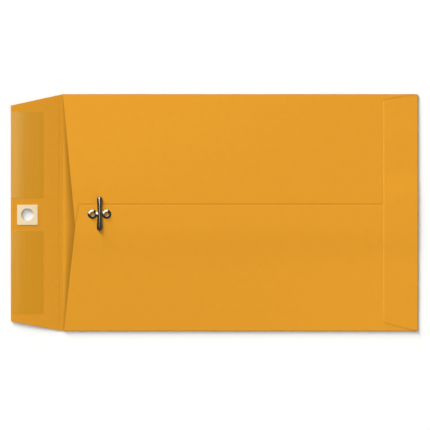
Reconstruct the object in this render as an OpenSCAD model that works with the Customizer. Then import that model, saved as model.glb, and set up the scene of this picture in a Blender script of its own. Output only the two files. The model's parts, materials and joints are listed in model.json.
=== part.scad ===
// Clasp envelope: an open-end paper pocket with a centre seam, lying face down with its flap open.
// Millimetres. X runs from the flap to the bottom fold, Y along the mouth, Z up from the table.
// The origin is on the table, under the middle of the open envelope.

/* [Pocket] */
// Length of the pocket, from the flap crease to the bottom fold
body_l = 228.6; // [180:0.1:330]
// Width of the pocket, between the side folds
body_w = 152.4; // [110:0.1:260]
// Thickness of the kraft paper
paper_t = 0.2; // [0.15:0.01:0.3]
// Gap left inside a pressed fold
fold_gap = 0.3; // [0.2:0.01:0.4]
// How far the empty back stands off the face at the mouth
throat_lift = 1; // [0.6:0.1:1.5]
// Depth of the throat cut, from the flap crease
throat_d = 8.2; // [6:0.1:12]
// Setback of the back panels from the flap crease, at the side folds
mouth_setback = 1.8; // [1.2:0.1:2.5]

/* [Seam] */
// Overlap of the two back panels
seam_lap = 14.2; // [9:0.1:18]
// Distance of the seam's middle from the middle of the envelope
seam_y = -2; // [-3:0.1:3]
// Setback of the outer panel's cut corner, along the seam
lap_cut = 2.6; // [0:0.1:5]
// Width of the glue line in the seam
seam_glue_w = 7; // [5:0.1:8]
// Thickness of a glue film
glue_t = 0.05; // [0.03:0.01:0.08]
// Width over which the outer panel comes down from the seam
lap_ramp = 25; // [15:1:35]

/* [Bottom flap] */
// Depth of the bottom flap
tuck_d = 22.3; // [16:0.1:35]
// Taper of the bottom flap at its upper end
tuck_taper_upper = 3.5; // [2:0.1:8]
// Taper of the bottom flap at its lower end
tuck_taper_lower = 5.8; // [2:0.1:8]
// How far the bottom fold stands out past the panels
bottom_reach = 0.5; // [0.4:0.05:0.8]
// Width over which the bottom flap comes down from the seam
tuck_ramp = 6; // [4:1:12]
// Distance of the bottom glue from the edges of the bottom flap
tuck_glue_inset = 3; // [2:0.5:5]

/* [Closure flap] */
// Depth of the flap
flap_d = 33.4; // [31:0.1:60]
// Angle at which the open flap springs up from its crease; it droops level at its free edge
flap_spring = 2; // [1:0.5:4]
// Height of the flap's outer face over the table, at its crease
crease_foot = 0.05; // [0.03:0.01:0.08]
// Taper of the flap at its upper end
flap_taper_upper = 7.4; // [4:0.1:14]
// Taper of the flap at its lower end
flap_taper_lower = 6.3; // [4:0.1:14]
// Running gap between the flap crease and the face panel
crease_gap = 0.06; // [0.04:0.01:0.1]
// Distance of the hole from the flap crease
hole_d = 22.7; // [21:0.1:24]
// Distance of the hole from the middle of the envelope
hole_y = -1.3; // [-2:0.1:2]
// Diameter of the hole
hole_dia = 7.7; // [7.2:0.1:8.4]
// Depth of the reinforcing patch
patch_d = 13.1; // [11:0.1:18]
// Width of the reinforcing patch
patch_w = 12.4; // [11:0.1:18]
// Thickness of the reinforcing patch
patch_t = 0.15; // [0.1:0.01:0.25]
// Depth of the gum strips
gum_d = 20.7; // [12:0.1:26]
// Length of the upper gum strip
upper_gum_l = 55.6; // [35:0.1:58]
// Length of the lower gum strip
lower_gum_l = 53.4; // [35:0.1:58]
// Distance of the gum from the flap's free edge
gum_edge = 0.3; // [0.2:0.1:1]
// Clear length between the gum strips
gum_space = 21; // [18:0.1:30]
// Thickness of the dried gum
gum_t = 0.05; // [0.03:0.01:0.1]

/* [Clasp] */
// Distance of the clasp from the flap crease
clasp_d = 23.7; // [22:0.1:25]
// Distance of the clasp from the middle of the envelope
clasp_y = -1; // [-2:0.1:2]
// Thickness of the clasp's tinplate
metal_t = 0.3; // [0.2:0.01:0.4]
// Length of the two prongs, tip to tip
clasp_l = 21.8; // [18:0.1:24]
// Distance from the clasp's middle to a prong's bend
bend_y = 1; // [0.9:0.05:1.3]
// Width of a prong at its bend
neck_w = 2.9; // [2.4:0.1:3.2]
// Width of a prong near its tip
tip_w = 3.6; // [3:0.1:4]
// Height of a prong's pressed ridge
prong_rise = 0.55; // [0.4:0.05:0.8]
// Length of the flat stretch of a prong, next to its bend
neck_flat = 1.2; // [1:0.1:1.6]
// Length over which a prong's ridge comes up
ridge_run = 2.5; // [2:0.1:4]
// Clearance under the prongs
prong_clear = 0.1; // [0.06:0.01:0.2]
// Running gap between a prong's bend and the base
bend_gap = 0.06; // [0.04:0.01:0.1]
// Distance from the clasp's middle to an eyelet
ear_x = 4.6; // [4.4:0.1:5.2]
// Width of the webs that carry the eyelets, where they meet the rims
web_w = 3.4; // [2.8:0.1:4]
// Diameter of an eyelet's bore
eyelet_bore = 2.6; // [2.4:0.1:3]
// Wall of an eyelet's barrel
eyelet_wall = 0.2; // [0.15:0.01:0.25]
// Width of an eyelet's rounded rim
rim_w = 1.5; // [1.2:0.1:1.6]
// Width of an eyelet's clinched roll, inside the pocket
clinch_w = 0.8; // [0.6:0.05:1]
// Clearance of the eyelets in the paper
eyelet_clear = 0.1; // [0.05:0.01:0.2]

/* [Hidden] */
$fn = 64;
// Facets of a whole circle as wide as the flap's arc
arc_facets = 2400;
// Steps along a curved back panel, down a ramp, round a fold, and along and across a prong
panel_steps = 14;
ramp_steps = 10;
fold_steps = 12;
prong_steps = 12;
tip_steps = 7;

kraft = "#e39d2e";
kraft_inside = "#d9962d";
dry_gum = "#cf9025";
dry_glue = "#e8d9a8";
patch_stock = "#ebdab5";
tinplate = "#c9cbcd";

// Places along X and Y
crease_x = (flap_d - body_l) / 2;
bottom_x = crease_x + body_l;
side_y = body_w / 2;
fold_r = paper_t + fold_gap / 2;
fold_y = side_y - fold_r;
lap_low = seam_y - seam_lap / 2;
lap_high = seam_y + seam_lap / 2;
// Distances from the flap crease: the panels' bottom ends and the bottom flap's free edge
panel_end = body_l - bottom_reach;
tuck_edge = body_l - tuck_d;
// The back is level round the clasp and along the seam, a little past both
level_margin = 3;
level_d = clasp_d + ear_x + eyelet_bore / 2 + rim_w + level_margin / 2;
level_y = seam_lap / 2 + abs(seam_y) + level_margin;
// How sharply the back falls towards the side folds
crown_power = 1.5;
// The crease is a bead as high as a side fold, so the flap folds over the back panels
crease_r = fold_r;
// The open flap is an arc in side view, level at its free edge
flap_r = flap_d / sin(flap_spring);
flap_arc_x = crease_x - flap_d;
flap_arc_z = crease_foot - flap_r * cos(flap_spring);
hole_tilt = asin((flap_d - hole_d) / flap_r);
// The clasp lies on the outer back panel
clasp_x = crease_x + clasp_d;
clasp_z = 3 * paper_t + fold_gap + throat_lift + glue_t;
// A bend's bead stands a little proud of the strip
bend_bead = 0.03;
bend_r = metal_t / 2 + bend_bead;
bend_z = clasp_z + prong_clear + bend_r;
eyelet_r = eyelet_bore / 2 + eyelet_wall;
// Distance of the seam glue from the seam's ends
glue_end = 1;
// Overlap that cuts and joins need
bite = 1;

function smooth(s) = let (c = max(0, min(1, s))) c * c * (3 - 2 * c);
function steps_after(from, to, count) = [for (i = [1:count]) from + (to - from) * i / count];
function steps(from, to, count) = concat([from], steps_after(from, to, count));

// Height of the back over the face: level round the clasp, falling to nothing at the folds
function crown(y) = let (out = max(0, abs(y) - level_y) / (fold_y - level_y)) 1 - pow(out, crown_power);
function mouth_fade(d) = max(0, min(1, (tuck_edge - d) / (tuck_edge - level_d)));
function under_panel_z(d, y) = paper_t + fold_gap + throat_lift * crown(y) * mouth_fade(d);
// The lower panel lies over the upper one at the seam and comes down to its own fold
function over_panel_z(d, y) =
    under_panel_z(d, y) + (paper_t + glue_t) * smooth((y - lap_low + lap_ramp) / lap_ramp);
// The bottom flap lies over both
function tuck_z(y) =
    y <= lap_high ? over_panel_z(body_l, y) + paper_t + glue_t
                  : under_panel_z(body_l, y) + paper_t + glue_t
                    + (paper_t + glue_t) * (1 - smooth((y - lap_high) / tuck_ramp));

// Mouth edges of the back panels, as distances from the crease
throat_cut = throat_d - mouth_setback;
function upper_mouth(y) = mouth_setback + throat_cut * (side_y - y) / (side_y - lap_low);
function lower_mouth(y) =
    y < lap_low ? mouth_setback + throat_cut * (side_y + y) / (side_y + lap_low)
                : throat_d + lap_cut * (y - lap_low) / seam_lap;

// Lines of constant y on which the sheets are drawn, each list from low to high
ramp_y = lap_low - lap_ramp;
upper_lines = concat([lap_low, lap_high], steps(level_y, fold_y, panel_steps));
lower_lines = concat(steps(-fold_y, ramp_y, panel_steps),
                     steps_after(ramp_y, lap_low, ramp_steps), [lap_high]);
tuck_lines = concat(steps(ramp_y, lap_low, ramp_steps), steps(lap_high, lap_high + tuck_ramp, ramp_steps));

// A solid between two grids of points, the upper one on the side that the two grid directions turn to
module solid_between(lower, upper) {
    rows = len(lower) - 1;
    cols = len(lower[0]) - 1;
    width = cols + 1;
    top = (rows + 1) * width;
    points = [for (grid = [lower, upper]) for (line = grid) for (p = line) p];
    function at(i, j) = i * width + j;
    function quad(a, b, c, d) = [[a, b, c], [a, c, d]];
    sheets = [for (i = [0:rows - 1]) for (j = [0:cols - 1])
        each concat(
            quad(top + at(i, j), top + at(i + 1, j), top + at(i + 1, j + 1), top + at(i, j + 1)),
            quad(at(i, j + 1), at(i + 1, j + 1), at(i + 1, j), at(i, j)))];
    ends = [for (j = [0:cols - 1])
        each concat(
            quad(at(0, j), top + at(0, j), top + at(0, j + 1), at(0, j + 1)),
            quad(at(rows, j + 1), top + at(rows, j + 1), top + at(rows, j), at(rows, j)))];
    sides = [for (i = [0:rows - 1])
        each concat(
            quad(at(i + 1, 0), top + at(i + 1, 0), top + at(i, 0), at(i, 0)),
            quad(at(i, cols), top + at(i, cols), top + at(i + 1, cols), at(i + 1, cols)))];
    polyhedron(points, concat(sheets, ends, sides), convexity = 6);
}

// A sheet of one thickness on a grid of points along its underside
module sheet(grid, t) {
    solid_between(grid, [for (line = grid) [for (p = line) p + [0, 0, t]]]);
}

// Places its children at both eyelets of the clasp
module at_eyelets() {
    for (side = [-1, 1])
        translate([clasp_x + side * ear_x, clasp_y, 0])
            children();
}

module eyelet_holes() {
    at_eyelets()
        cylinder(r = eyelet_r + eyelet_clear, h = clasp_z + bite);
}

// Face panel: the address side, flat on the table
module face_panel() {
    left = crease_x + crease_r + crease_gap;
    right = bottom_x - bottom_reach;
    color(kraft)
        translate([left, -fold_y, 0])
            cube([right - left, 2 * fold_y, paper_t]);
}

// A side fold: half a paper tube along the pocket's edge, on the +Y side
module side_fold() {
    color(kraft)
        translate([crease_x + mouth_setback, fold_y, fold_r])
            rotate([90, 0, 90])
                linear_extrude(panel_end - mouth_setback)
                    difference() {
                        circle(r = fold_r);
                        circle(r = fold_gap / 2);
                        translate([-2 * fold_r, -fold_r])
                            square([2 * fold_r, 2 * fold_r]);
                    }
}

module upper_side_fold() {
    side_fold();
}

module lower_side_fold() {
    mirror([0, 1, 0]) side_fold();
}

// Upper back panel, the inner one at the seam
module upper_back_panel() {
    grid = [for (y = upper_lines)
        [for (d = [upper_mouth(y), level_d, tuck_edge, panel_end]) [crease_x + d, y, under_panel_z(d, y)]]];
    color(kraft)
        difference() {
            sheet(grid, paper_t);
            eyelet_holes();
        }
}

// Lower back panel, the outer one at the seam
module lower_back_panel() {
    grid = [for (y = lower_lines)
        [for (d = [lower_mouth(y), level_d, tuck_edge, panel_end]) [crease_x + d, y, over_panel_z(d, y)]]];
    color(kraft)
        difference() {
            sheet(grid, paper_t);
            eyelet_holes();
        }
}

// Glue line between the two back panels
module seam_glue() {
    ends = [throat_d + lap_cut + glue_end, level_d, tuck_edge, panel_end - glue_end];
    grid = [for (y = [seam_y - seam_glue_w / 2, seam_y + seam_glue_w / 2])
        [for (d = ends) [crease_x + d, y, under_panel_z(d, y) + paper_t]]];
    color(dry_glue)
        difference() {
            sheet(grid, glue_t);
            eyelet_holes();
        }
}

// Lines of the bottom flap: its slanted ends, and the lines between them
function tuck_grid(from, to, inset, drop) =
    let (share = function(d) (d - tuck_edge) / tuck_d,
         low = function(d) -fold_y + tuck_taper_lower * (1 - share(d)) + inset,
         high = function(d) fold_y - tuck_taper_upper * (1 - share(d)) - inset)
    concat(
        [[for (d = [from, to]) [crease_x + d, low(d), tuck_z(-fold_y) - drop]]],
        [for (y = tuck_lines) [for (d = [from, to]) [crease_x + d, y, tuck_z(y) - drop]]],
        [[for (d = [from, to]) [crease_x + d, high(d), tuck_z(fold_y) - drop]]]);

// Bottom flap, turned up from the face panel over both back panels
module bottom_flap() {
    color(kraft)
        sheet(tuck_grid(tuck_edge, panel_end, 0, 0), paper_t);
}

// Glue film under the bottom flap
module bottom_glue() {
    color(dry_glue)
        sheet(tuck_grid(tuck_edge + tuck_glue_inset, panel_end - tuck_glue_inset, tuck_glue_inset, glue_t),
              glue_t);
}

// Bottom fold: carries the paper round from the face panel to the bottom flap
module bottom_fold() {
    lines = concat([-fold_y], tuck_lines, [fold_y]);
    turns = steps(-90, 90, fold_steps);
    function ring(y, reach, rise) =
        [for (a = turns)
            [bottom_x - bottom_reach + reach * cos(a), y, (tuck_z(y) + paper_t) / 2 + rise * sin(a)]];
    outer = [for (y = lines) ring(y, bottom_reach, (tuck_z(y) + paper_t) / 2)];
    inner = [for (y = lines) ring(y, bottom_reach - paper_t, (tuck_z(y) - paper_t) / 2)];
    color(kraft)
        solid_between(outer, inner);
}

// A layer of the flap between two heights over its outer face, as wide as the pocket
module flap_layer(low, high) {
    translate([flap_arc_x, side_y, flap_arc_z])
        rotate([90, 0, 0])
            linear_extrude(body_w)
                intersection() {
                    difference() {
                        circle(r = flap_r + high, $fn = arc_facets);
                        circle(r = flap_r + low, $fn = arc_facets);
                    }
                    translate([0, flap_r - flap_d])
                        square([flap_d, flap_d + bite]);
                }
}

// A rectangle of such a layer, from its low corner
module flap_piece(x, y, d, w, t) {
    intersection() {
        flap_layer(paper_t, paper_t + t);
        translate([x, y, -bite])
            cube([d, w, flap_d]);
    }
}

// The hole, square to the flap where it is
module flap_hole() {
    translate([flap_arc_x, hole_y, flap_arc_z])
        rotate([0, hole_tilt, 0])
            translate([0, 0, flap_r - bite])
                cylinder(r = hole_dia / 2, h = paper_t + patch_t + 2 * bite);
}

// Closure flap with the bead of its crease, about which it folds
module closure_flap() {
    color(kraft_inside)
        difference() {
            union() {
                intersection() {
                    flap_layer(0, paper_t);
                    translate([0, 0, -bite])
                        linear_extrude(flap_d)
                            polygon([[flap_arc_x, -side_y + flap_taper_lower],
                                     [flap_arc_x, side_y - flap_taper_upper],
                                     [crease_x, side_y],
                                     [crease_x, -side_y]]);
                }
                translate([crease_x, side_y, crease_r])
                    rotate([90, 0, 0])
                        cylinder(r = crease_r, h = body_w);
            }
            flap_hole();
        }
}

// A strip of dried gum on the inside of the flap
module gum_strip(low_y, l) {
    color(dry_gum)
        flap_piece(flap_arc_x + gum_edge, low_y, gum_d, l, gum_t);
}

module upper_gum_strip() {
    gum_strip(hole_y + gum_space / 2, upper_gum_l);
}

module lower_gum_strip() {
    gum_strip(hole_y - gum_space / 2 - lower_gum_l, lower_gum_l);
}

// Reinforcing patch round the hole
module hole_patch() {
    color(patch_stock)
        difference() {
            flap_piece(crease_x - hole_d - patch_d / 2, hole_y - patch_w / 2, patch_d, patch_w, patch_t);
            flap_hole();
        }
}

// Clasp base: a pressed strip with an eyelet at each end, clinched through both back panels
module clasp_base() {
    hub_y = bend_y - bend_r - bend_gap;
    hub_w = neck_w + 2 * bend_gap;
    color(tinplate) {
        difference() {
            translate([clasp_x, clasp_y, clasp_z])
                union() {
                    linear_extrude(metal_t)
                        polygon([[-ear_x, -web_w / 2], [-hub_w / 2, -hub_y],
                                 [hub_w / 2, -hub_y], [ear_x, -web_w / 2],
                                 [ear_x, web_w / 2], [hub_w / 2, hub_y],
                                 [-hub_w / 2, hub_y], [-ear_x, web_w / 2]]);
                    hub_ridge(hub_y, hub_w);
                }
            at_eyelets()
                cylinder(r = eyelet_bore / 2, h = clasp_z + metal_t + bite);
        }
        at_eyelets() eyelet();
    }
}

// The ridge that runs on between the two prongs
module hub_ridge(half_l, w) {
    rise = prong_rise + metal_t;
    r = (w * w / 4 + rise * rise) / (2 * rise);
    rotate([90, 0, 0])
        translate([0, 0, -half_l])
            linear_extrude(2 * half_l)
                intersection() {
                    translate([0, rise - r]) circle(r = r);
                    translate([-w / 2, 0]) square([w, rise]);
                }
}

// One eyelet: a round rim over the paper, a barrel through both panels and a clinched roll inside
module eyelet() {
    bore_r = eyelet_bore / 2;
    inside_z = paper_t + fold_gap + throat_lift;
    rotate_extrude()
        union() {
            intersection() {
                translate([bore_r + rim_w / 2, clasp_z]) circle(r = rim_w / 2);
                translate([bore_r, clasp_z]) square([rim_w, rim_w]);
            }
            translate([bore_r, inside_z - eyelet_wall]) {
                square([eyelet_wall, clasp_z - inside_z + 2 * eyelet_wall]);
                square([clinch_w, eyelet_wall]);
            }
        }
}

// A prong in its own frame: its bend on the X axis, its tip along +Y, bend_z at 0
module prong() {
    length = clasp_l / 2 - bend_y;
    shoulder = length - tip_w / 2;
    tip_turn = 90 / (tip_steps + 2);
    // Stations along the prong: distance from the bend, and how far the round tip has drawn in
    stations = concat(
        [for (y = [0, neck_flat]) [y, 1]],
        [for (y = steps_after(neck_flat, shoulder, prong_steps)) [y, 1]],
        [for (a = steps(tip_turn, 90 - tip_turn, tip_steps))
            [shoulder + (length - shoulder) * sin(a), cos(a)]]);
    function swell(y) = smooth((y - neck_flat) / (shoulder - neck_flat));
    function half_w(y) = (neck_w + (tip_w - neck_w) * swell(y)) / 2;
    function rise(y) = prong_rise * smooth((y - neck_flat) / ridge_run);
    grid = [for (s = stations)
        [for (v = steps(-1, 1, prong_steps))
            [v * half_w(s[0]) * s[1], s[0], -metal_t / 2 + rise(s[0]) * s[1] * (1 - v * v)]]];
    color(tinplate)
        union() {
            sheet(grid, metal_t);
            translate([-neck_w / 2, 0, 0])
                rotate([0, 90, 0])
                    cylinder(r = bend_r, h = neck_w);
        }
}

module upper_prong() {
    translate([clasp_x, clasp_y + bend_y, bend_z]) prong();
}

module lower_prong() {
    translate([clasp_x, clasp_y - bend_y, bend_z]) rotate([0, 0, 180]) prong();
}

face_panel();
upper_back_panel();
lower_back_panel();
upper_side_fold();
lower_side_fold();
bottom_fold();
bottom_flap();
seam_glue();
bottom_glue();
closure_flap();
upper_gum_strip();
lower_gum_strip();
hole_patch();
clasp_base();
upper_prong();
lower_prong();
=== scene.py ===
import json
import math

import bmesh
import bpy
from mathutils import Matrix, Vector


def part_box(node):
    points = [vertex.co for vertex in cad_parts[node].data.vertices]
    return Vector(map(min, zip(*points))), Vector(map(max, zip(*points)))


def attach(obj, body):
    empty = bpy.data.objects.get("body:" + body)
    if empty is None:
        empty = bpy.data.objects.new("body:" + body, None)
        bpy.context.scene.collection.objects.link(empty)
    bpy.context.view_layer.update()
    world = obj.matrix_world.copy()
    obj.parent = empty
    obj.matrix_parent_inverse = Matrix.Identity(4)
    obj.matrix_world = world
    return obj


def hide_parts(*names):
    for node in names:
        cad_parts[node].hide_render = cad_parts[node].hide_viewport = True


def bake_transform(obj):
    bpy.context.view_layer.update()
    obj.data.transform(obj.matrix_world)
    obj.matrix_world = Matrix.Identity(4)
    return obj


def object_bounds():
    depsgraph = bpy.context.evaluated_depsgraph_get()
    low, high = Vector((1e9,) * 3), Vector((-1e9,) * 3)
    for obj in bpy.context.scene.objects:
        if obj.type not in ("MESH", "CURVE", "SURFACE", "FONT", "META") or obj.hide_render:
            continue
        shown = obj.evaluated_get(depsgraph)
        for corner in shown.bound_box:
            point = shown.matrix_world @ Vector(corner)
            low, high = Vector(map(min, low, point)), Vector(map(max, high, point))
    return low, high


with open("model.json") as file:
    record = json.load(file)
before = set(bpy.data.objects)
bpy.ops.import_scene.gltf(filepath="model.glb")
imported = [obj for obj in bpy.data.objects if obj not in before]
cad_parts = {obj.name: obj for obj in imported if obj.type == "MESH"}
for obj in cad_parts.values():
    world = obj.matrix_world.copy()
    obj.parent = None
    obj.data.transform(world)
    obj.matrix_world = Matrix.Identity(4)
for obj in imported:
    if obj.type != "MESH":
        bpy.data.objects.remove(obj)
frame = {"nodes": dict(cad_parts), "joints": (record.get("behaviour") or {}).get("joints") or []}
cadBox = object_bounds()
mm = 0.001

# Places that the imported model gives: joints, panel edges and the thickness of the paper
joints = {joint["name"]: joint for joint in frame["joints"]}
creaseX, _, creaseZ = joints["flap_fold"]["pos_m"]
claspX, upperBendY, bendZ = joints["upper_prong_bend"]["pos_m"]
lowerBendY = joints["lower_prong_bend"]["pos_m"][1]
claspY = (upperBendY + lowerBendY) / 2
foldX, foldY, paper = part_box("face_panel")[1]
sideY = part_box("upper_side_fold")[1][1]
bottomX = cadBox[1][0]
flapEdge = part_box("closure_flap")[0][0]
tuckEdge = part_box("bottom_flap")[0][0]
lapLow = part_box("upper_back_panel")[0][1]
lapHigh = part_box("lower_back_panel")[1][1]
print("frame loaded", len(frame["nodes"]), "nodes")


# An sRGB hex colour, turned linear
def hexLinear(code):
    channels = [int(code[i:i + 2], 16) / 255 for i in (1, 3, 5)]
    linear = [c / 12.92 if c <= 0.04045 else ((c + 0.055) / 1.055) ** 2.4 for c in channels]
    return (*linear, 1.0)


# A share held between 0 and 1 and eased at both ends
def smooth(share):
    share = max(0.0, min(1.0, share))
    return share * share * (3 - 2 * share)


# Evenly spaced places from start to stop
def spread(start, stop, steps):
    return [start + (stop - start) * i / steps for i in range(steps + 1)]


# The same over several stretches in a row, each with its own number of steps
def spreadOver(ends, stretchSteps):
    places = [ends[0]]
    for start, stop, steps in zip(ends, ends[1:], stretchSteps):
        places += spread(start, stop, steps)[1:]
    return places


# Camera: straight above the back of the envelope, through a long lens
camera = {"lens": 150.0, "sensor": 36.0, "pixels": 430, "mmPerPixel": 0.6435,
          "centrePixel": (214.5, 212.57), "clipM": (0.01, 100.0)}
cameraData = bpy.data.cameras.new("Camera")
cameraData.lens = camera["lens"]
cameraData.sensor_width = camera["sensor"]
cameraData.clip_start, cameraData.clip_end = camera["clipM"]
cameraObject = bpy.data.objects.new("Camera", cameraData)
bpy.context.collection.objects.link(cameraObject)
frameWidth = camera["pixels"] * camera["mmPerPixel"] * mm
pixel = frameWidth / camera["pixels"]
middlePixel = camera["pixels"] / 2
cameraObject.location = (
    (middlePixel - camera["centrePixel"][0]) * pixel,
    (camera["centrePixel"][1] - middlePixel) * pixel,
    frameWidth * camera["lens"] / camera["sensor"],
)
bpy.context.scene.camera = cameraObject
print("camera placed")


# One function for every node: its kind, its settings by socket or property name, and its links.
# The stops of a colour ramp are (place, colour) pairs, in order.
def addNode(tree, kind, settings=None, links=None, stops=None):
    node = tree.nodes.new(kind)
    for name, value in (settings or {}).items():
        if isinstance(name, int) or name in node.inputs:
            node.inputs[name].default_value = value
        else:
            setattr(node, name, value)
    for name, (source, output) in (links or {}).items():
        tree.links.new(source.outputs[output], node.inputs[name])
    if stops:
        ramp = node.color_ramp.elements
        ramp[0].position, ramp[0].color = stops[0]
        ramp[1].position, ramp[1].color = stops[-1]
        for place, colour in stops[1:-1]:
            ramp.new(place).color = colour
    return node


def newMaterial(name):
    material = bpy.data.materials.new(name)
    material.use_nodes = True
    material.node_tree.nodes.clear()
    return material, material.node_tree


# Machine-finished kraft: long pulp fibres pressed flat, so a soft sheen and a very faint fibre mottle.
# Folds carry painted shade along their turn, and the bottom flap's free edge a pale tone that is partly raw
# fibre and partly painted highlight.
# Inside, painted shade lies under the lip of the pocket.
kraft = {"tone": "#E09B2A", "fibreTone": "#DD9727", "innerTone": "#D89528", "innerFibreTone": "#D59125",
         "cutShadeTone": "#A9751F", "cutShadeFibreTone": "#9E6C1A", "foldShadeTone": "#8F6219", "edgeHighlightTone": "#DABF76",
         "throatShadeTone": "#AE7A1E", "mottle": (0.12, 0.5), "roughness": 0.75, "ior": 1.5, "gloss": 0.2,
         "fibreMm": 1.8, "fibreWidthMm": 0.3, "fibreScale": 0.6, "fibreDetail": 3.0, "fibreRough": 0.6,
         "cloudMm": 5.0, "cloudDetail": 4.0, "bump": 0.05, "bumpMm": 0.05, "rimMm": 0.03}
paperRim = kraft["rimMm"] * mm


def kraftPaper(name, tone, fibreTone, marks=()):
    material, tree = newMaterial(name)
    place = addNode(tree, "ShaderNodeTexCoord")
    # Fibres lie along the machine direction, X; drawn coarser than real ones so that they show
    stretch = addNode(tree, "ShaderNodeMapping",
                      {"Scale": (1 / (kraft["fibreMm"] * mm), 1 / (kraft["fibreWidthMm"] * mm), 1 / mm)},
                      {"Vector": (place, "Object")})
    fibre = addNode(tree, "ShaderNodeTexNoise",
                    {"Scale": kraft["fibreScale"], "Detail": kraft["fibreDetail"],
                     "Roughness": kraft["fibreRough"]},
                    {"Vector": (stretch, "Vector")})
    cloud = addNode(tree, "ShaderNodeTexNoise",
                    {"Scale": 1 / (kraft["cloudMm"] * mm), "Detail": kraft["cloudDetail"]},
                    {"Vector": (place, "Object")})
    mottle = addNode(tree, "ShaderNodeMath", {"operation": "MULTIPLY"},
                     {0: (fibre, "Fac"), 1: (cloud, "Fac")})
    tint = addNode(tree, "ShaderNodeValToRGB", {}, {"Fac": (mottle, "Value")},
                   list(zip(kraft["mottle"], (hexLinear(tone), hexLinear(fibreTone)))))
    colour = (tint, "Color")
    for mark, markTone in marks:
        # How far each point has gone over to the mark's tone is an attribute of the mesh.
        # A colour mix has its two colours in sockets 6 and 7, and its result in output 2.
        share = addNode(tree, "ShaderNodeAttribute", {"attribute_name": mark})
        marked = addNode(tree, "ShaderNodeMix", {"data_type": "RGBA", 7: hexLinear(markTone)},
                         {0: (share, "Fac"), 6: colour})
        colour = (marked, 2)
    relief = addNode(tree, "ShaderNodeBump", {"Strength": kraft["bump"], "Distance": kraft["bumpMm"] * mm},
                     {"Height": (fibre, "Fac")})
    paperShader = addNode(tree, "ShaderNodeBsdfPrincipled",
                          {"Roughness": kraft["roughness"], "IOR": kraft["ior"],
                           "Specular IOR Level": kraft["gloss"]},
                          {"Base Color": colour, "Normal": (relief, "Normal")})
    addNode(tree, "ShaderNodeOutputMaterial", {}, {"Surface": (paperShader, "BSDF")})
    return material


# The outer side carries the painted fold shade and the painted highlight on the bottom flap's free edge
kraftOutside = kraftPaper("kraftMachineFinished", kraft["tone"], kraft["fibreTone"],
                          (("paintedFoldShade", kraft["foldShadeTone"]), ("paintedEdgeHighlight", kraft["edgeHighlightTone"])))
# The inner side carries the painted throat shade
kraftInside = kraftPaper("kraftInnerSide", kraft["innerTone"], kraft["innerFibreTone"],
                         (("paintedThroatShade", kraft["throatShadeTone"]),))
# Cut edges: a dark tone, partly for the open fibres and partly painted shade that keeps rims in the low key
# light from glowing
kraftEdge = kraftPaper("kraftCutEdge", kraft["cutShadeTone"], kraft["cutShadeFibreTone"])
print("paper materials made")


def newPiece(name, mesh, body, slot, *nodes):
    piece = bpy.data.objects.new(name, mesh)
    bpy.context.collection.objects.link(piece)
    if body:
        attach(piece, body)
    if nodes:
        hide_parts(*nodes)
    return piece


# Places of a sheet's materials: the grid's own side, the far side and the rim
gridSide, farSide, rimSide = 0, 1, 2


# A sheet of paper or metal from the grid of points on one of its sides, with a slightly rounded rim.
# A negative thickness puts the far side against the grid's normals.
def sheetMesh(name, materials, grid, thickness, rim):
    rows, cols = len(grid), len(grid[0])

    def normal(i, j):
        along = grid[min(i + 1, rows - 1)][j] - grid[max(i - 1, 0)][j]
        across = grid[i][min(j + 1, cols - 1)] - grid[i][max(j - 1, 0)]
        return along.cross(across).normalized()

    normals = [[normal(i, j) for j in range(cols)] for i in range(rows)]
    builder = bmesh.new()
    near = [[builder.verts.new(point) for point in line] for line in grid]
    far = [[builder.verts.new(grid[i][j] + normals[i][j] * thickness) for j in range(cols)]
           for i in range(rows)]
    for i in range(rows - 1):
        for j in range(cols - 1):
            gridFace = (near[i][j], near[i][j + 1], near[i + 1][j + 1], near[i + 1][j])
            farFace = (far[i][j], far[i + 1][j], far[i + 1][j + 1], far[i][j + 1])
            builder.faces.new(gridFace).material_index = gridSide
            builder.faces.new(farFace).material_index = farSide
    # The rim runs round the four edges of the grid, through a line of points that stands a little out
    loop = [(0, j) for j in range(cols - 1)] + [(i, cols - 1) for i in range(rows - 1)]
    loop += [(rows - 1, j) for j in range(cols - 1, 0, -1)] + [(i, 0) for i in range(rows - 1, 0, -1)]
    rimLine = []
    for i, j in loop:
        centre = grid[i][j] + normals[i][j] * thickness / 2
        inward = grid[min(max(i, 1), rows - 2)][min(max(j, 1), cols - 2)] - grid[i][j]
        inward -= normals[i][j] * inward.dot(normals[i][j])
        rimLine.append(builder.verts.new(centre - inward.normalized() * rim))
    for k in range(len(loop)):
        after = (k + 1) % len(loop)
        (i, j), (m, n) = loop[k], loop[after]
        here, there = rimLine[k], rimLine[after]
        builder.faces.new((near[m][n], near[i][j], here, there)).material_index = rimSide
        builder.faces.new((there, here, far[i][j], far[m][n])).material_index = rimSide
    bmesh.ops.recalc_face_normals(builder, faces=builder.faces)
    for face in builder.faces:
        face.smooth = face.material_index != rimSide
        for edge in face.edges:
            edge.smooth = edge.smooth and face.smooth
    mesh = bpy.data.meshes.new(name)
    for material in materials:
        mesh.materials.append(material)
    builder.to_mesh(mesh)
    builder.free()
    return mesh


# The mesh that an object's modifiers give
def appliedMesh(holder):
    bpy.context.view_layer.update()
    return bpy.data.meshes.new_from_object(holder.evaluated_get(bpy.context.evaluated_depsgraph_get()))


punch = {"segments": 72, "depthMm": 6.0}


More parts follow.
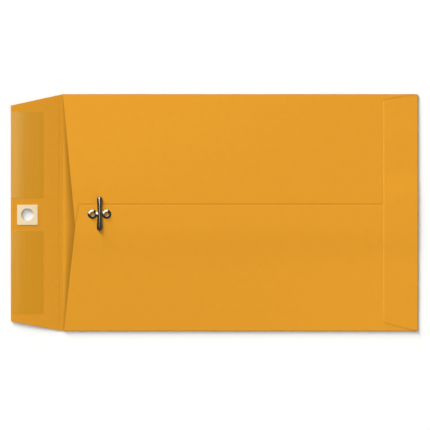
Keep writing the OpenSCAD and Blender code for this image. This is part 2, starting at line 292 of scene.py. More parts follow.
# Cuts a round hole through a sheet with a boolean, and returns the finished mesh
def punchHole(mesh, centre, direction, radius):
    builder = bmesh.new()
    bmesh.ops.create_cone(builder, cap_ends=True, segments=punch["segments"], radius1=radius,
                          radius2=radius, depth=punch["depthMm"] * mm)
    for face in builder.faces:
        face.material_index = rimSide
    punchMesh = bpy.data.meshes.new("punch")
    builder.to_mesh(punchMesh)
    builder.free()
    cutter = bpy.data.objects.new("punch", punchMesh)
    cutter.location = centre
    cutter.rotation_mode = "QUATERNION"
    cutter.rotation_quaternion = Vector((0, 0, 1)).rotation_difference(direction)
    sheet = bpy.data.objects.new("punchedSheet", mesh)
    bpy.context.collection.objects.link(sheet)
    bpy.context.collection.objects.link(cutter)
    cut = sheet.modifiers.new("cut", "BOOLEAN")
    cut.object = cutter
    cut.solver = "EXACT"
    finished = appliedMesh(sheet)
    bpy.data.objects.remove(sheet)
    bpy.data.objects.remove(cutter)
    return finished


# Back panels: level at the clasp, falling to the side folds and to the bottom flap
back = {"liftMm": 1.0, "gapMm": 0.3, "levelMm": 12.1, "levelEndMm": 32.6, "bowPower": 1.5, "fadePower": 0.8,
        "rampMm": 25.0, "glueMm": 0.05, "pinchMm": 0.03, "throatMm": 8.2, "setbackUpperMm": 0.1,
        "setbackLowerMm": 0.8, "lapCutMm": 2.6, "pressMm": 0.03, "pressReachMm": 0.5, "dipMm": 0.09,
        "dipReachMm": 0.6, "shadeMm": (1.1, 5.8), "foldShadeMm": 0.1, "foldShadeUpper": 1.0, "foldShadeLower": 0.6,
        "mouthMm": 4.5, "tuckMm": 1.0, "shortMm": 0.1, "alongSteps": (30, 44, 24), "turnSteps": 16,
        "upperSteps": (24, 8, 5, 50, 30), "lowerSteps": (60, 8, 6)}
levelHalf = back["levelMm"] * mm
levelEnd = creaseX + back["levelEndMm"] * mm
gap = back["gapMm"] * mm
step = paper + back["glueMm"] * mm


# Height of the upper panel's inner face, before its dips
def innerZ(x, y):
    out = max(0.0, abs(y) - levelHalf) / (foldY - levelHalf)
    bow = 1 - min(1.0, out) ** back["bowPower"]
    fade = smooth((tuckEdge - x) / (tuckEdge - levelEnd)) ** back["fadePower"]
    return paper + gap + back["liftMm"] * mm * bow * fade


# Height of the lower panel's inner face, which climbs over the upper panel at the seam
def outerZ(x, y):
    ramp = back["rampMm"] * mm
    return innerZ(x, y) + step * smooth((y - lapLow + ramp) / ramp)


# Each mouth slants from its side fold to the throat, and the lower panel's corner is cut back at the lap
def upperMouth(y):
    share = (sideY - y) / (sideY - lapLow)
    return creaseX + (back["setbackUpperMm"] + (back["throatMm"] - back["setbackUpperMm"]) * share) * mm


def lowerMouth(y):
    if y < lapLow:
        share = (sideY + y) / (sideY + lapLow)
        return creaseX + (back["setbackLowerMm"] + (back["throatMm"] - back["setbackLowerMm"]) * share) * mm
    return creaseX + (back["throatMm"] + back["lapCutMm"] * (y - lapLow) / (lapHigh - lapLow)) * mm


# The pinched turn of a side fold, as (out past the panel's edge, height) pairs on its inner face
def foldTurn():
    radius = gap / 2
    pinch = back["pinchMm"] * mm
    turn = [(radius - pinch + pinch * math.sin(a), paper + radius + radius * math.cos(a))
            for a in spread(0.0, math.pi, back["turnSteps"])]
    return turn + [(0.0, paper)]


# Places along a panel: close together by the mouth and by the bottom flap, where its shape changes
def stations(mouth):
    ends = (mouth, mouth + back["mouthMm"] * mm, tuckEdge - back["tuckMm"] * mm, foldX - back["shortMm"] * mm)
    return spreadOver(ends, back["alongSteps"])


# A panel and its side fold; side is 1 for the upper one and -1 for the lower one
def backGrid(lines, mouth, height, side):
    panel = [[Vector((x, y, height(x, y))) for x in stations(mouth(y))] for y in lines]
    foldStations = stations(mouth(side * foldY))
    turn = [[Vector((x, side * (foldY + out), z)) for x in foldStations] for out, z in foldTurn()]
    return panel + turn if side > 0 else turn[::-1] + panel


# Stores on each point of a mesh how far it shows a painted mark, 0 to 1
def markMesh(mesh, mark, share):
    shown = mesh.attributes.new(mark, "FLOAT", "POINT")
    for vertex in mesh.vertices:
        shown.data[vertex.index].value = share(vertex.co)


# Painted shade on a fold's turn, from how far past the fold line a point lies
def foldShadeShare(past):
    return smooth(past / (back["foldShadeMm"] * mm))


# Bottom flap, which the upper panel's shape follows too
tuck = {"taperUpperMm": 3.5, "taperLowerMm": 5.3, "lowerStopMm": 2.3, "rampMm": 24.0, "reachMm": 0.5,
        "pinchMm": 0.05, "pressMm": 0.03, "endPressMm": 0.03, "pressReachMm": 0.5, "settleMm": 0.14,
        "settleReachMm": 32.0, "paintedFoldShade": 0.6, "edgeHighlightMm": 0.28, "edgeHighlightStopMm": 5.6, "edgeHighlightFadeMm": 1.0,
        "acrossSteps": (6, 150, 6), "alongSteps": (6, 20), "turnSteps": 14}


# The lower end meets the side of the pocket a little short of the bottom fold
def tuckLowEnd(x):
    stop = foldX - tuck["lowerStopMm"] * mm
    return -foldY + tuck["taperLowerMm"] * mm * max(0.0, (stop - x) / (stop - tuckEdge))


def tuckHighEnd(x):
    return foldY - tuck["taperUpperMm"] * mm * (foldX - x) / (foldX - tuckEdge)


# The upper panel dips a little along the pressed edges that lie on it: the seam, the cut corner of the
# lower panel at the mouth, and the upper end of the bottom flap
def upperZ(x, y):
    corner = lowerMouth(min(y, lapHigh))
    if y < lapHigh and x > corner:
        away = min(lapHigh - y, x - corner)
    else:
        away = math.hypot(max(0.0, y - lapHigh), max(0.0, corner - x))
    away = min(away, math.hypot(y - tuckHighEnd(x), max(0.0, tuckEdge - x)))
    return innerZ(x, y) - back["dipMm"] * mm * smooth(1 - away / (back["dipReachMm"] * mm))


dipEnd = lapHigh + back["dipReachMm"] * mm
tuckTop = foldY - (tuck["taperUpperMm"] + back["dipReachMm"]) * mm
upperLines = spreadOver((lapLow, lapHigh, dipEnd, levelHalf, tuckTop, foldY), back["upperSteps"])
upperGrid = backGrid(upperLines, upperMouth, upperZ, 1)
backSides = [kraftInside, kraftOutside, kraftEdge]
upperMesh = sheetMesh("upperBack", backSides, upperGrid, -paper, paperRim)
# Painted shade on the upper fold's turn, at full strength where the low key light falls full on it
markMesh(upperMesh, "paintedFoldShade", lambda point: back["foldShadeUpper"] * foldShadeShare(point.y - foldY))
newPiece("upperBack", upperMesh, "envelope", "kraft", "upper_back_panel", "upper_side_fold")


# The free edge of the lower panel at the seam is pressed round
def lowerZ(x, y):
    return outerZ(x, y) - back["pressMm"] * mm * smooth(1 - (lapHigh - y) / (back["pressReachMm"] * mm))


pressStart = lapHigh - back["pressReachMm"] * mm
lowerLines = spreadOver((-foldY, lapLow, pressStart, lapHigh), back["lowerSteps"])
lowerGrid = backGrid(lowerLines, lowerMouth, lowerZ, -1)
lowerMesh = sheetMesh("lowerBack", backSides, lowerGrid, -paper, paperRim)
# Painted shade on the lower fold's turn, weaker
markMesh(lowerMesh, "paintedFoldShade", lambda point: back["foldShadeLower"] * foldShadeShare(-point.y - foldY))
newPiece("lowerBack", lowerMesh, "envelope", "kraft", "lower_back_panel", "lower_side_fold")
print("back panels made")


# Height of the bottom flap's under side, over both panels
def tuckZ(y):
    if y <= lapHigh:
        return outerZ(bottomX, y) + step
    return innerZ(bottomX, y) + step + step * (1 - smooth((y - lapHigh) / (tuck["rampMm"] * mm)))


# The flap settles towards its two ends, and its free edge and lower end are pressed down
def tuckDrop(x, y, low, high):
    reach = tuck["pressReachMm"] * mm
    pressed = max(tuck["pressMm"] * smooth(1 - (x - tuckEdge) / reach),
                  tuck["endPressMm"] * smooth(1 - (y - low) / reach))
    settled = tuck["settleMm"] * smooth(1 - min(y - low, high - y) / (tuck["settleReachMm"] * mm))
    return (pressed + settled) * mm


# The flap with the fold that carries it round from the face
def tuckGrid():
    reach = tuck["pressReachMm"] * mm
    pinch = tuck["pinchMm"] * mm
    turnX = foldX + tuck["reachMm"] * mm - paper - pinch
    endShare = reach / (2 * foldY)
    xs = spreadOver((tuckEdge, tuckEdge + reach, foldX), tuck["alongSteps"])
    grid = []
    for share in spreadOver((0.0, endShare, 1 - endShare, 1.0), tuck["acrossSteps"]):
        line = []
        for x in xs:
            low, high = tuckLowEnd(x), tuckHighEnd(x)
            y = low + (high - low) * share
            line.append(Vector((x, y, tuckZ(y) - tuckDrop(x, y, low, high))))
        y = -foldY + 2 * foldY * share
        top = tuckZ(y) - tuckDrop(foldX, y, -foldY, foldY)
        for a in spread(math.pi / 2, -math.pi / 2, tuck["turnSteps"]):
            z = (top + paper) / 2 + (top - paper) / 2 * math.sin(a)
            line.append(Vector((turnX + pinch * math.cos(a), y, z)))
        line.append(Vector((foldX, y, paper)))
        grid.append(line)
    return grid


# Painted highlight along the free edge, a pale tone that also stands for raw fibres, fading out short of its
# lower corner
def tuckEdgeHighlight(point):
    inward = (point.x - tuckEdge) / (tuck["edgeHighlightMm"] * mm)
    upward = (point.y - tuckLowEnd(tuckEdge) - tuck["edgeHighlightStopMm"] * mm) / (tuck["edgeHighlightFadeMm"] * mm)
    return smooth(1 - inward) * smooth(upward)


tuckMesh = sheetMesh("bottomFlap", backSides, tuckGrid(), -paper, paperRim)
# Painted shade on the bottom fold's turn
markMesh(tuckMesh, "paintedFoldShade", lambda point: tuck["paintedFoldShade"] * foldShadeShare(point.x - foldX))
# Painted highlight on the bottom flap's free edge
markMesh(tuckMesh, "paintedEdgeHighlight", tuckEdgeHighlight)
newPiece("bottomFlap", tuckMesh, "envelope", "kraft", "bottom_flap", "bottom_fold")
print("bottom flap made")

# Face and closure flap: one sheet, scored at the crease, with the open flap springing up in a shallow arc.
# Each score is its place from the crease, half width and depth.
flap = {"springDeg": 2.0, "footMm": 0.05, "taperUpperMm": 7.4, "taperLowerMm": 6.3,
        "scoresMm": ((-1.7, 0.55, 0.05), (-0.35, 0.4, 0.04)), "bulgeMm": 0.1, "bulgeRunMm": 2.2,
        "bulgeFadeMm": 7.0, "holeMm": 22.7, "holeDiaMm": 7.85, "bendMm": 0.6, "curlMm": 0.18,
        "curlReachMm": 10.0, "layerLiftMm": 0.004, "stretchesMm": (-3.0, 2.0, 14.0),
        "alongSteps": (40, 40, 40, 40), "acrossSteps": 120}
spring = math.radians(flap["springDeg"])
flapDepth = creaseX - flapEdge
flapRadius = flapDepth / math.sin(spring)
arcZ = flap["footMm"] * mm - flapRadius * math.cos(spring)


# Height of the flap's under side
def flapZ(x):
    curl = max(0.0, 1 - (x - flapEdge) / (flap["curlReachMm"] * mm))
    return arcZ + math.sqrt(flapRadius ** 2 - (x - flapEdge) ** 2) - flap["curlMm"] * mm * curl ** 2


# Square to the flap at one place
def flapUp(x):
    ahead = 0.1 * mm
    return Vector((flapZ(x) - flapZ(x + ahead), 0, ahead)).normalized()


# Height of the whole sheet's under side, with two faint score lines beside the crease
def blankZ(x):
    past = (x - creaseX) / mm
    score = sum(deep * math.exp(-((past - place) / half) ** 2) for place, half, deep in flap["scoresMm"]) * mm
    if past > 0:
        # Inside the mouth the face springs up a little before it settles flat
        bulge = flap["footMm"] + flap["bulgeMm"] * smooth(past / flap["bulgeRunMm"])
        return bulge * mm * smooth(1 - (past - flap["bulgeRunMm"]) / flap["bulgeFadeMm"]) - score
    return flapZ(x) - score


def blankGrid():
    stretchEnds = [creaseX + place * mm for place in flap["stretchesMm"]]
    grid = []
    for x in spreadOver((flapEdge, *stretchEnds, foldX), flap["alongSteps"]):
        out = max(0.0, (creaseX - x) / flapDepth)
        half = sideY + (foldY - sideY) * smooth((x - creaseX) / (flap["bendMm"] * mm))
        low = -half + flap["taperLowerMm"] * mm * out
        high = half - flap["taperUpperMm"] * mm * out
        grid.append([Vector((x, y, blankZ(x))) for y in spread(low, high, flap["acrossSteps"])])
    return grid


# Painted shade under the lip of the pocket, which reaches further out where the throat is deeper
def throatShade(point):
    if point.x <= creaseX:
        return 0.0
    mouth = upperMouth(point.y) if point.y > lapLow else lowerMouth(point.y)
    depth = min(1.0, max(0.0, (mouth - creaseX) / (back["throatMm"] * mm)))
    shallow, deep = back["shadeMm"]
    reach = (shallow + (deep - shallow) * depth) * mm
    return max(0.0, 1 - max(0.0, mouth - point.x) / reach)


patchLow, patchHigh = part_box("hole_patch")
holeX = creaseX - flap["holeMm"] * mm
holeCentre = (holeX, (patchLow[1] + patchHigh[1]) / 2, flapZ(holeX))
flapHole = (holeCentre, flapUp(holeX), flap["holeDiaMm"] / 2 * mm)
blankSides = [kraftOutside, kraftInside, kraftEdge]
blankMesh = punchHole(sheetMesh("blank", blankSides, blankGrid(), paper, paperRim), *flapHole)
# Painted shade in the throat, stored on the sheet's points
markMesh(blankMesh, "paintedThroatShade", throatShade)
blank = newPiece("blank", blankMesh, None, "kraft", "face_panel", "closure_flap")
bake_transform(blank)
print("blank made")


# A thin layer that lies on the arched inner face of the flap, from rows of (x, places across)
def flapLayer(rows):
    grid = []
    for x, ys in rows:
        lift = flapUp(x) * (paper + flap["layerLiftMm"] * mm)
        grid.append([Vector((x, y, flapZ(x))) + lift for y in ys])
    return grid


# Dried gum: a roller-coated film of dextrin, glossier and browner than the paper, with faint roller streaks.
# Its glare leans to green against the amber film.
gum = {"tone": "#CE8E1F", "streakTone": "#D29324", "streaks": (0.35, 0.75), "glossTone": "#DAFFDC",
       "gloss": 0.72, "roughness": 0.14, "ior": 1.5, "streakMm": 1.4, "streakLengthMm": 60.0,
       "streakDetail": 3.0, "bump": 0.05, "bumpMm": 0.05, "thickMm": 0.02, "rimMm": 0.03,
       "waveMm": 0.16, "waveLengthMm": 7.0, "upperWave": 0.7, "alongSteps": 24, "acrossSteps": 90}
gumFilm, gumTree = newMaterial("driedGumRollerCoated")
gumPlace = addNode(gumTree, "ShaderNodeTexCoord")
gumStretch = addNode(gumTree, "ShaderNodeMapping",
                     {"Scale": (1 / (gum["streakMm"] * mm), 1 / (gum["streakLengthMm"] * mm), 1.0)},
                     {"Vector": (gumPlace, "Object")})
gumStreak = addNode(gumTree, "ShaderNodeTexNoise", {"Scale": 1.0, "Detail": gum["streakDetail"]},
                    {"Vector": (gumStretch, "Vector")})
gumTint = addNode(gumTree, "ShaderNodeValToRGB", {}, {"Fac": (gumStreak, "Fac")},
                  list(zip(gum["streaks"], (hexLinear(gum["tone"]), hexLinear(gum["streakTone"])))))
gumRelief = addNode(gumTree, "ShaderNodeBump", {"Strength": gum["bump"], "Distance": gum["bumpMm"] * mm},
                    {"Height": (gumStreak, "Fac")})
gumShader = addNode(gumTree, "ShaderNodeBsdfPrincipled",
                    {"Roughness": gum["roughness"], "IOR": gum["ior"], "Specular IOR Level": gum["gloss"],
                     "Specular Tint": hexLinear(gum["glossTone"])},
                    {"Base Color": (gumTint, "Color"), "Normal": (gumRelief, "Normal")})
addNode(gumTree, "ShaderNodeOutputMaterial", {}, {"Surface": (gumShader, "BSDF")})


# The ends of the film wander a little, as the roller lifts off
def gumLine(x, low, high):
    wave = gum["waveMm"] * mm * math.sin(2 * math.pi * x / (gum["waveLengthMm"] * mm))
    return spread(low + wave, high + wave * gum["upperWave"], gum["acrossSteps"])


for name, node in (("upperGum", "upper_gum_strip"), ("lowerGum", "lower_gum_strip")):
    low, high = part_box(node)
    gumRows = [(x, gumLine(x, low[1], high[1])) for x in spread(low[0], high[0], gum["alongSteps"])]
    gumMesh = sheetMesh(name, [gumFilm] * 3, flapLayer(gumRows), gum["thickMm"] * mm, gum["rimMm"] * mm)
    newPiece(name, gumMesh, "flap", "gum", node)
print("gum made")

# Manila patch card: calendered smooth, pale straw, with a few darker specks of fibre
patch = {"tone": "#EBDAB6", "speckTone": "#E0C99A", "specks": (0.45, 0.8), "roughness": 0.55, "ior": 1.5,
         "speckMm": 0.7, "speckDetail": 4.0, "bump": 0.1, "bumpMm": 0.05, "thickMm": 0.15, "rimMm": 0.04,
         "overhangMm": 0.4, "steps": 16}
patchCard, patchTree = newMaterial("manilaCardCalendered")
patchPlace = addNode(patchTree, "ShaderNodeTexCoord")
patchSpeck = addNode(patchTree, "ShaderNodeTexNoise",
                     {"Scale": 1 / (patch["speckMm"] * mm), "Detail": patch["speckDetail"]},
                     {"Vector": (patchPlace, "Object")})
patchTint = addNode(patchTree, "ShaderNodeValToRGB", {}, {"Fac": (patchSpeck, "Fac")},
                    list(zip(patch["specks"], (hexLinear(patch["tone"]), hexLinear(patch["speckTone"])))))
patchRelief = addNode(patchTree, "ShaderNodeBump",
                      {"Strength": patch["bump"], "Distance": patch["bumpMm"] * mm},
                      {"Height": (patchSpeck, "Fac")})
patchShader = addNode(patchTree, "ShaderNodeBsdfPrincipled",
                      {"Roughness": patch["roughness"], "IOR": patch["ior"]},
                      {"Base Color": (patchTint, "Color"), "Normal": (patchRelief, "Normal")})
addNode(patchTree, "ShaderNodeOutputMaterial", {}, {"Surface": (patchShader, "BSDF")})
patchLine = spread(patchLow[1] - patch["overhangMm"] * mm, patchHigh[1], patch["steps"])
patchGrid = flapLayer([(x, patchLine) for x in spread(patchLow[0], patchHigh[0], patch["steps"])])
patchMesh = sheetMesh("holePatch", [patchCard] * 3, patchGrid, patch["thickMm"] * mm, patch["rimMm"] * mm)
newPiece("holePatch", punchHole(patchMesh, *flapHole), "flap", "patch", "hole_patch")
print("patch made")

# Tinplate: rolled steel strip with a bright tin coat, pressed; near mirror, with fine draw lines along it
tin = {"tone": "#CFC9BA", "dullTone": "#BDB7A8", "lines": (0.3, 0.8), "roughness": 0.16, "roughSpan": 0.03,
       "lineMm": 0.12, "lineLengthMm": 6.0, "lineDetail": 2.0}
tinplate, tinTree = newMaterial("tinplatePressed")
tinPlace = addNode(tinTree, "ShaderNodeTexCoord")
lineScale = 1 / (tin["lineMm"] * mm)
tinStretch = addNode(tinTree, "ShaderNodeMapping",
                     {"Scale": (lineScale, 1 / (tin["lineLengthMm"] * mm), lineScale)},
                     {"Vector": (tinPlace, "Object")})
tinLine = addNode(tinTree, "ShaderNodeTexNoise", {"Scale": 1.0, "Detail": tin["lineDetail"]},
                  {"Vector": (tinStretch, "Vector")})
tinTint = addNode(tinTree, "ShaderNodeValToRGB", {}, {"Fac": (tinLine, "Fac")},
                  list(zip(tin["lines"], (hexLinear(tin["tone"]), hexLinear(tin["dullTone"])))))
tinWear = addNode(tinTree, "ShaderNodeMapRange",
                  {"To Min": tin["roughness"] - tin["roughSpan"],
                   "To Max": tin["roughness"] + tin["roughSpan"]},
                  {"Value": (tinLine, "Fac")})
tinShader = addNode(tinTree, "ShaderNodeBsdfPrincipled", {"Metallic": 1.0},
                    {"Base Color": (tinTint, "Color"), "Roughness": (tinWear, "Result")})
addNode(tinTree, "ShaderNodeOutputMaterial", {}, {"Surface": (tinShader, "BSDF")})

# Clasp base: two rolled eyelets, clinched through the panels, and a ridged hub between them
clasp = {"seatMm": 0.28, "eyeletMm": 4.6, "boreMm": 1.25, "rimMm": 1.82, "rimPower": 1.4, "skirtMm": 0.06,
         "crestMm": 0.35, "crestRiseMm": 0.62, "ribCrest": 0.62, "hubHalfMm": 1.0, "hubWideMm": 2.7,
         "hubRiseMm": 0.97, "hubShiftMm": 0.2, "hubEndWide": 0.96, "hubEndRise": 0.85, "hubFlat": 0.55,
         "webHubMm": 3.6, "webEarMm": 3.2, "webHubRiseMm": 0.72, "webEarRiseMm": 0.34, "webLapMm": 0.3,
         "barrelMm": 0.2, "barrelTopMm": 0.25, "gripMm": 0.45, "clinchMm": 0.8, "clinchThickMm": 0.2,
         "rollMm": 0.05, "lipMm": 0.06, "lipShare": 0.7, "voxelMm": 0.06, "softenSteps": 3,
         "ringSteps": 64, "crestSteps": 8, "rimSteps": 12, "webSteps": 16, "hubSteps": 28}
claspLow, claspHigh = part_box("clasp_base")
claspMiddle = (claspLow[0] + claspHigh[0]) / 2
seatZ = bendZ - clasp["seatMm"] * mm
bore = clasp["boreMm"] * mm
eyelets = {side: Vector((claspMiddle + side * clasp["eyeletMm"] * mm, claspY, seatZ)) for side in (-1, 1)}


# Revolves a closed (radius, height) outline into a ring
def ringInto(builder, outline, centre):
    rings = []
    for k in range(clasp["ringSteps"]):
        a = 2 * math.pi * k / clasp["ringSteps"]
        ring = [centre + Vector((r * math.cos(a), r * math.sin(a), z)) for r, z in outline]
        rings.append([builder.verts.new(point) for point in ring])
    for here, there in zip(rings, rings[1:] + rings[:1]):
        for i in range(len(outline)):
            j = (i + 1) % len(outline)
            builder.faces.new((here[i], there[i], there[j], here[j]))


# Height across a pressed rib, 1 at its crest and 0 at its edges.
# The crest is rounded and the flanks are nearly straight.
def ribHeight(across):
    crest = clasp["ribCrest"]
    return 1 - (math.hypot(across, crest) - crest) / (math.hypot(1, crest) - crest)


# Height across a half-round bar
def roundHeight(across):
    return math.sqrt(max(0.0, 1 - across * across))


# A bar through sections, each (centre, half width vector, rise), closed underneath and at its ends
def barInto(builder, sections, height, steps):
    outlines = []
    places = [math.cos(a) for a in spread(0.0, math.pi, steps)]
    for centre, half, rise in sections:
        outline = [centre + half * v + Vector((0, 0, rise * height(v))) for v in places]
        outlines.append([builder.verts.new(point) for point in outline])
    for here, there in zip(outlines, outlines[1:]):
        for i in range(len(places)):
            j = (i + 1) % len(places)
            builder.faces.new((here[i], here[j], there[j], there[i]))
    builder.faces.new(outlines[0])
    builder.faces.new(outlines[-1][::-1])


# The eyelets' rims and the webs that join them to the hub
def earsInto(builder, hub):
    rim = clasp["rimMm"] * mm
    crest, crestRise = clasp["crestMm"] * mm, clasp["crestRiseMm"] * mm
    inner = [(bore + crest * (1 - math.cos(a)), crestRise * math.sin(a))
             for a in spread(0.0, math.pi / 2, clasp["crestSteps"])]
    outer = [(bore + crest + (rim - crest) * t, crestRise * (1 - t ** clasp["rimPower"]))
             for t in spread(0.0, 1.0, clasp["rimSteps"])[1:]]
    skirt = -clasp["skirtMm"] * mm
    hubHalf = Vector((0, clasp["webHubMm"] / 2 * mm, 0))
    earHalf = Vector((0, clasp["webEarMm"] / 2 * mm, 0))
    for side, centre in eyelets.items():
        ringInto(builder, inner + outer + [(bore + rim, skirt), (bore, skirt)], centre)
        webEnd = centre - Vector((side * (bore + clasp["webLapMm"] * mm), 0, 0))
        barInto(builder, [(hub, hubHalf, clasp["webHubRiseMm"] * mm),
                          (webEnd, earHalf, clasp["webEarRiseMm"] * mm)], roundHeight, clasp["webSteps"])


def hubInto(builder, hub):
    reach = Vector((0, clasp["hubHalfMm"] * mm, 0))
    half = Vector((clasp["hubWideMm"] / 2 * mm, 0, 0))
    rise = clasp["hubRiseMm"] * mm
    endHalf, endRise = half * clasp["hubEndWide"], rise * clasp["hubEndRise"]
    flat = reach * clasp["hubFlat"]
    barInto(builder, [(hub - reach, endHalf, endRise), (hub - flat, half, rise),
                      (hub + flat, half, rise), (hub + reach, endHalf, endRise)],
            ribHeight, clasp["hubSteps"])


# One skin over rims, webs and hub, softened as a press leaves it
def claspSkin():
    builder = bmesh.new()
    hub = Vector((claspX + clasp["hubShiftMm"] * mm, claspY, seatZ))
    earsInto(builder, hub)
    hubInto(builder, hub)
    bmesh.ops.recalc_face_normals(builder, faces=builder.faces)
    rough = bpy.data.meshes.new("claspRough")
    builder.to_mesh(rough)
    builder.free()
    holder = bpy.data.objects.new("claspRough", rough)
    bpy.context.collection.objects.link(holder)
    skin = holder.modifiers.new("skin", "REMESH")
    skin.mode = "VOXEL"
    skin.voxel_size = clasp["voxelMm"] * mm
    soften = holder.modifiers.new("soften", "SMOOTH")
    soften.iterations = clasp["softenSteps"]
    mesh = appliedMesh(holder)
    bpy.data.objects.remove(holder)
    mesh.materials.clear()
    return mesh


# Barrels through both panels, turned out and clinched flat inside the pocket
def barrelsInto(builder):
    outside = bore + clasp["barrelMm"] * mm
    roll = outside + clasp["clinchMm"] * mm
    top, grip = clasp["barrelTopMm"] * mm, clasp["gripMm"] * mm
    thick = clasp["clinchThickMm"] * mm
    outline = [(bore, top), (outside, top), (outside, -grip), (roll, -grip),
               (roll + clasp["rollMm"] * mm, -grip - thick / 2), (roll, -grip - thick),
               (outside, -grip - thick), (bore + clasp["lipMm"] * mm, -grip - thick * clasp["lipShare"]),
               (bore, -grip)]
    for centre in eyelets.values():
        ringInto(builder, outline, centre)


def claspBaseMesh():
    builder = bmesh.new()
    builder.from_mesh(claspSkin())
    barrelsInto(builder)
    bmesh.ops.recalc_face_normals(builder, faces=builder.faces)
    for face in builder.faces:
        face.smooth = True
    mesh = bpy.data.meshes.new("claspBase")
    mesh.materials.append(tinplate)
    builder.to_mesh(mesh)
    builder.free()
    return mesh


newPiece("claspBase", claspBaseMesh(), "envelope", "tinplate", "clasp_base")

# Prongs: arched tongues that swell to a round tip, each bent up at its neck to close the flap
prong = {"upper": {"lengthMm": 10.15, "neckMm": 2.5, "tipMm": 3.15, "shiftMm": 0.18},
         "lower": {"lengthMm": 9.65, "neckMm": 2.75, "tipMm": 3.45, "shiftMm": 0.2},
         "tipRunMm": 1.8, "tipDeg": 87.0, "tipPower": 0.75, "riseMm": 0.8, "thickMm": 0.3, "rimMm": 0.1,
         "rootMm": 0.55, "neckFlatMm": 1.2, "droopMm": 0.16, "bendFromMm": -0.3, "bendToMm": 0.7,
         "alongSteps": 34, "tipSteps": 14, "acrossSteps": 20}


# Rows run from root to tip, each with the share of the full width that the round tip leaves it
def prongGrid(size, bendY, side):
    length, tipRun = size["lengthMm"], prong["tipRunMm"]
    middleX = claspX + size["shiftMm"] * mm
    shoulder = length - tipRun
    rows = [(y, 1.0) for y in spread(-prong["rootMm"], shoulder, prong["alongSteps"])]
    rows += [(shoulder + tipRun * math.sin(a), math.cos(a) ** prong["tipPower"])
             for a in spread(0.0, math.radians(prong["tipDeg"]), prong["tipSteps"])[1:]]
    grid = []
    for y, wide in rows:
        share = smooth((y - prong["neckFlatMm"]) / (shoulder - prong["neckFlatMm"]))
        half = (size["neckMm"] + (size["tipMm"] - size["neckMm"]) * share) / 2 * wide
        rise = prong["riseMm"] * math.sqrt(wide)
        droop = prong["droopMm"] * (max(0.0, y) / length) ** 2
        line = []
        for v in spread(-1.0, 1.0, prong["acrossSteps"]):
            z = -prong["thickMm"] / 2 + rise * ribHeight(v) - droop
            line.append(Vector((middleX + side * v * half * mm, bendY + side * y * mm, bendZ + z * mm)))
        grid.append(line)
    return grid


for name, body, size, bendY, side in (("upperProng", "upper_prong", prong["upper"], upperBendY, 1),
                                      ("lowerProng", "lower_prong", prong["lower"], lowerBendY, -1)):
    tongue = sheetMesh(name, [tinplate] * 3, prongGrid(size, bendY, side), -prong["thickMm"] * mm,
                       prong["rimMm"] * mm)
    for polygon in tongue.polygons:
        polygon.use_smooth = True
    piece = newPiece(name, tongue, None, "tinplate", body)
    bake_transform(piece)
print("clasp made")

# Dried seam glue: a clear amber dextrin film between the panels, blotched where it soaked in
glue = {"tone": "#C99A4A", "blotchTone": "#B98738", "blotches": (0.0, 1.0), "roughness": 0.4, "ior": 1.5,
        "blotchMm": 3.0, "blotchDetail": 3.0}
glueFilm, glueTree = newMaterial("driedDextrinGlue")
gluePlace = addNode(glueTree, "ShaderNodeTexCoord")
glueBlotch = addNode(glueTree, "ShaderNodeTexNoise",
                     {"Scale": 1 / (glue["blotchMm"] * mm), "Detail": glue["blotchDetail"]},
                     {"Vector": (gluePlace, "Object")})
glueTint = addNode(glueTree, "ShaderNodeValToRGB", {}, {"Fac": (glueBlotch, "Fac")},
                   list(zip(glue["blotches"], (hexLinear(glue["tone"]), hexLinear(glue["blotchTone"])))))
glueShader = addNode(glueTree, "ShaderNodeBsdfPrincipled",
                     {"Roughness": glue["roughness"], "IOR": glue["ior"]},
                     {"Base Color": (glueTint, "Color")})
addNode(glueTree, "ShaderNodeOutputMaterial", {}, {"Surface": (glueShader, "BSDF")})
for node in ("seam_glue", "bottom_glue"):
    for materialSlot in bpy.data.objects[node].material_slots:
        materialSlot.material = glueFilm
print("glue set")

# Floor: matt white paper, wide enough to fill every view
sweep = {"tone": "#FDFDFD", "halfM": 12.0}
sweepPaper, sweepTree = newMaterial("whiteSweep")
sweepShader = addNode(sweepTree, "ShaderNodeBsdfDiffuse", {"Color": hexLinear(sweep["tone"])})
addNode(sweepTree, "ShaderNodeOutputMaterial", {}, {"Surface": (sweepShader, "BSDF")})
builder = bmesh.new()
bmesh.ops.create_grid(builder, x_segments=1, y_segments=1, size=sweep["halfM"])
floorMesh = bpy.data.meshes.new("floor")
builder.to_mesh(floorMesh)
builder.free()
floorMesh.materials.append(sweepPaper)
floor = bpy.data.objects.new("floor", floorMesh)
bpy.context.collection.objects.link(floor)

# One broad window of light fills the upper left quarter of the sky, with soft edges; the rest is dim.
# Metal and gum mirror it. Each edge is a direction and two dot products with it, between which the light
# fades in.
studio = {"dim": 0.06, "dimTone": "#F2DDB4", "tintEdge": 0.1, "window": 2.2,
          "leftward": (-1.0, 0.45, 0.0), "leftEdge": (0.097, 0.2),
          "upward": (0.3, 1.0, 0.0), "upEdge": (-0.13, -0.05),
          "overhead": (0.0, 0.0, 1.0), "highEdge": (0.4, 0.65),
          "wall": 0.4, "wallHeights": (0.06, 0.14, 0.34, 0.44), "wallEnds": (0.75, 0.9),
          "right": 0.15, "rightEdge": (0.5, 0.9)}
scene = bpy.context.scene
scene.view_settings.view_transform = "Standard"
world = bpy.data.worlds.new("studio")
scene.world = world
world.use_nodes = True
skyTree = world.node_tree
skyTree.nodes.clear()
skyPlace = addNode(skyTree, "ShaderNodeTexCoord")
skyAxes = addNode(skyTree, "ShaderNodeSeparateXYZ", {}, {"Vector": (skyPlace, "Generated")})
shares = []
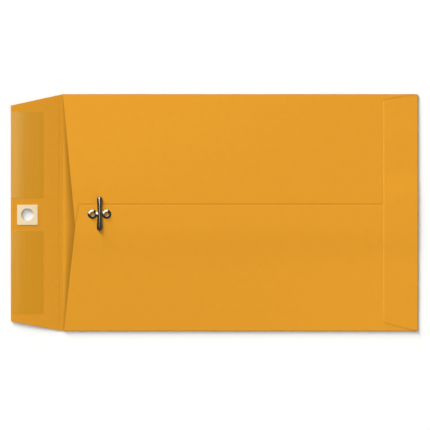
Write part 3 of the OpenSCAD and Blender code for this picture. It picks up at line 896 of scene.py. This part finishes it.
for direction, edge in (("leftward", "leftEdge"), ("upward", "upEdge"), ("overhead", "highEdge")):
    facing = addNode(skyTree, "ShaderNodeVectorMath", {"operation": "DOT_PRODUCT", 1: studio[direction]},
                     {0: (skyPlace, "Generated")})
    dark, full = studio[edge]
    shares.append(addNode(skyTree, "ShaderNodeMapRange",
                          {"interpolation_type": "SMOOTHSTEP", "From Min": dark, "From Max": full},
                          {"Value": (facing, "Value")}))
quarter = addNode(skyTree, "ShaderNodeMath", {"operation": "MULTIPLY"},
                  {0: (shares[0], "Result"), 1: (shares[1], "Result")})
windowShare = addNode(skyTree, "ShaderNodeMath", {"operation": "MULTIPLY"},
                      {0: (quarter, "Value"), 1: (shares[2], "Result")})
# A low pale wall along each long side, which metal mirrors when it is seen from there
black, white = (0.0, 0.0, 0.0, 1.0), (1.0, 1.0, 1.0, 1.0)
wallPlaces = (0.0, *studio["wallHeights"], 1.0)
wallHeight = addNode(skyTree, "ShaderNodeValToRGB", {}, {"Fac": (skyAxes, "Z")},
                     list(zip(wallPlaces, (black, black, white, white, black, black))))
endwise = addNode(skyTree, "ShaderNodeMath", {"operation": "ABSOLUTE"}, {0: (skyAxes, "X")})
wallStart, wallStop = studio["wallEnds"]
wallLength = addNode(skyTree, "ShaderNodeMapRange",
                     {"From Min": wallStart, "From Max": wallStop, "To Min": 1.0, "To Max": 0.0},
                     {"Value": (endwise, "Value")})
wallShare = addNode(skyTree, "ShaderNodeMath", {"operation": "MULTIPLY"},
                    {0: (wallHeight, "Color"), 1: (wallLength, "Result")})
# The right of the room is a little less dim, so the flanks of the clasp that face it stand out
rightStart, rightStop = studio["rightEdge"]
rightLevel = addNode(skyTree, "ShaderNodeMapRange",
                     {"interpolation_type": "SMOOTHSTEP", "From Min": rightStart, "From Max": rightStop,
                      "To Min": studio["dim"], "To Max": studio["right"]},
                     {"Value": (skyAxes, "X")})
wallLevel = addNode(skyTree, "ShaderNodeMapRange", {"To Max": studio["wall"]},
                    {"Value": (wallShare, "Value"), "To Min": (rightLevel, "Result")})
skyLevel = addNode(skyTree, "ShaderNodeMapRange", {"To Max": studio["window"]},
                   {"Value": (windowShare, "Value"), "To Min": (wallLevel, "Result")})
skyTint = addNode(skyTree, "ShaderNodeValToRGB", {}, {"Fac": (windowShare, "Value")},
                  ((0.0, hexLinear(studio["dimTone"])), (studio["tintEdge"], white)))
sky = addNode(skyTree, "ShaderNodeBackground", {},
              {"Color": (skyTint, "Color"), "Strength": (skyLevel, "Result")})
addNode(skyTree, "ShaderNodeOutputWorld", {}, {"Surface": (sky, "Background")})

# A low key from the upper left draws the shadows; what metal and gum mirror is left to the sky.
# Angles are in degrees, and the share is of the light that shows a level sheet in its own colour.
suns = {"keyLight": {"azimuth": 118, "elevation": 11, "width": 22, "share": 0.51},
        "fillLight": {"azimuth": -45, "elevation": 15, "width": 20, "share": 0.08}}
for name, sun in suns.items():
    azimuth, elevation = math.radians(sun["azimuth"]), math.radians(sun["elevation"])
    sunData = bpy.data.lights.new(name, "SUN")
    sunData.angle = math.radians(sun["width"])
    sunData.energy = sun["share"] * math.pi / math.sin(elevation)
    lamp = bpy.data.objects.new(name, sunData)
    level = math.cos(elevation)
    towards = Vector((math.cos(azimuth) * level, math.sin(azimuth) * level, math.sin(elevation)))
    lamp.rotation_mode = "QUATERNION"
    lamp.rotation_quaternion = Vector((0, 0, 1)).rotation_difference(towards)
    lamp.visible_glossy = False
    bpy.context.collection.objects.link(lamp)
print("light set")
